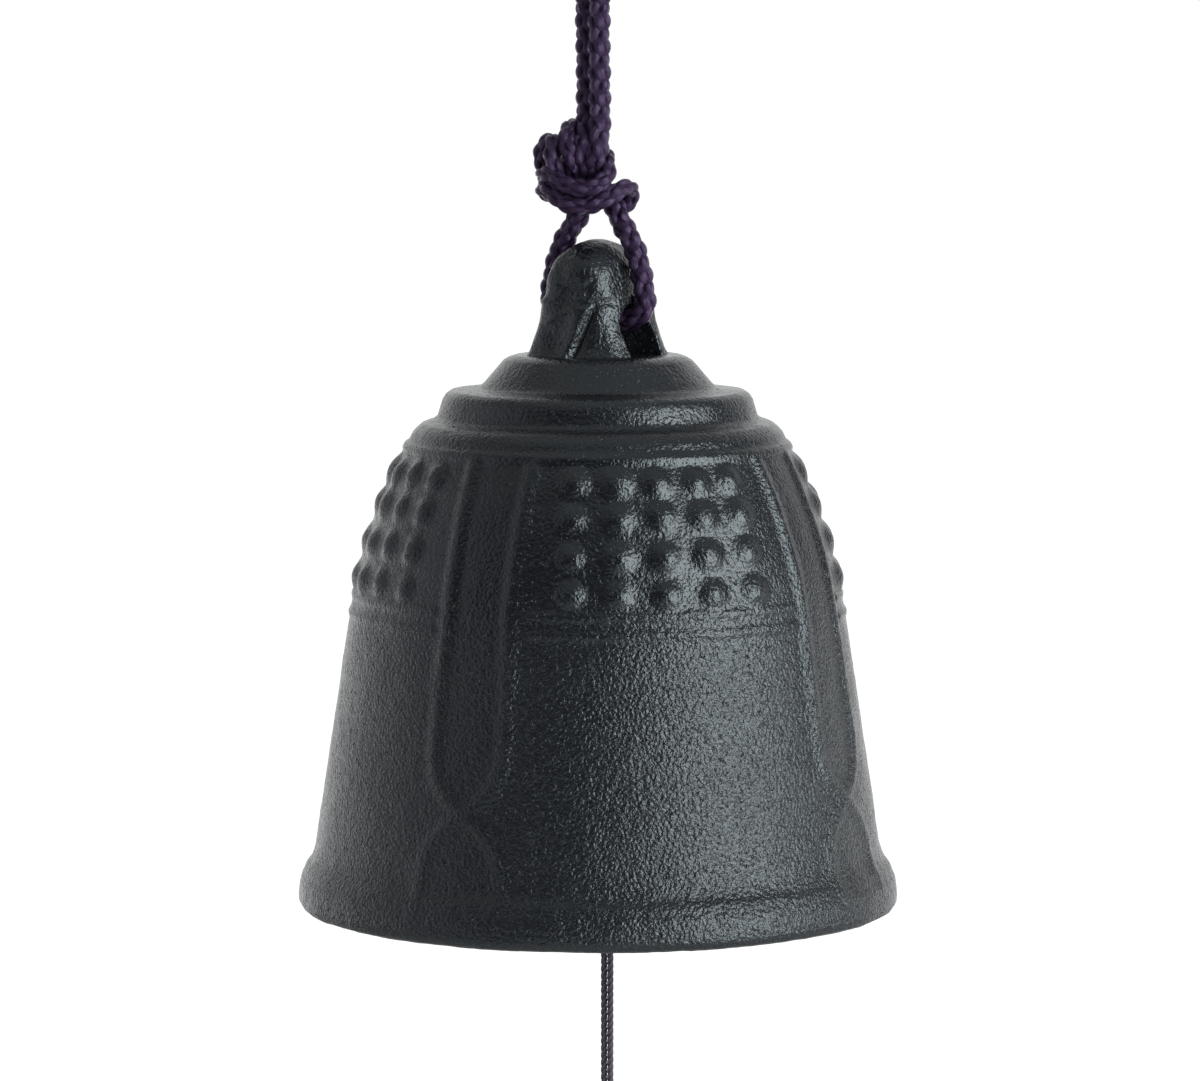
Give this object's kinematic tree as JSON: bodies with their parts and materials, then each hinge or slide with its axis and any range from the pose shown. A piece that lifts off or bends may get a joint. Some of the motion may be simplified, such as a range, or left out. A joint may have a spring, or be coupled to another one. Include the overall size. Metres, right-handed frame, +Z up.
{
  "type": "wind bell",
  "caption": "Small cast iron wind bell with a ribbed and studded shell and an arched handle, on a braided cord, with a clapper inside and a paper wind strip below.",
  "frame": {"origin": "inside top of the hanging loop, where it lies on a hook", "axes": "+Z up along the bell's axis; X along the hole in the handle; Y along the handle's arch"},
  "size_m": [0.0708, 0.0708, 0.3048],
  "materials": {
    "black_iron": "sand cast, black lacquer, satin",
    "staple_wire": "dark iron wire",
    "clapper_iron": "cast, blackened",
    "braided_cord": "glossy dark purple braid",
    "thin_thread": "grey-purple twisted thread",
    "strip_paper": null
  },
  "bodies": {
    "hanger": {"hanging_loop": "braided_cord", "cord_knot": "braided_cord", "handle_cord": "braided_cord"},
    "bell": {"bell_casting": "black_iron", "clapper_staple": "staple_wire"},
    "clapper_line": {"clapper_cord": "thin_thread", "stop_knot": "thin_thread"},
    "clapper": {"clapper": "clapper_iron"},
    "strip_line": {"strip_cord": "thin_thread"},
    "strip": {"strip_knot": "thin_thread", "strip_loop": "thin_thread", "wind_strip": "strip_paper"}
  },
  "joints": [
    {"name": "bell_rock", "type": "hinge", "parent": "hanger", "child": "bell", "pos_m": [0, 0, -0.0625], "axis": [1, 0, 0], "range_deg": [-25, 25]},
    {"name": "clapper_swing", "type": "hinge", "parent": "bell", "child": "clapper_line", "pos_m": [0.001, 0.0005, -0.0816], "axis": [0, 1, 0], "range_deg": [-25, 28]},
    {"name": "clapper_turn", "type": "hinge", "parent": "clapper_line", "child": "clapper", "pos_m": [0.001, 0.0005, -0.1129], "axis": [0, 0, 1], "continuous": true},
    {"name": "strip_swing", "type": "hinge", "parent": "clapper_line", "child": "strip_line", "pos_m": [0.001, 0.0005, -0.1162], "axis": [1, 0, 0], "range_deg": [-30, 30]},
    {"name": "strip_turn", "type": "hinge", "parent": "strip_line", "child": "strip", "pos_m": [0.001, 0.0005, -0.1642], "axis": [0, 0, 1], "continuous": true}
  ]
}
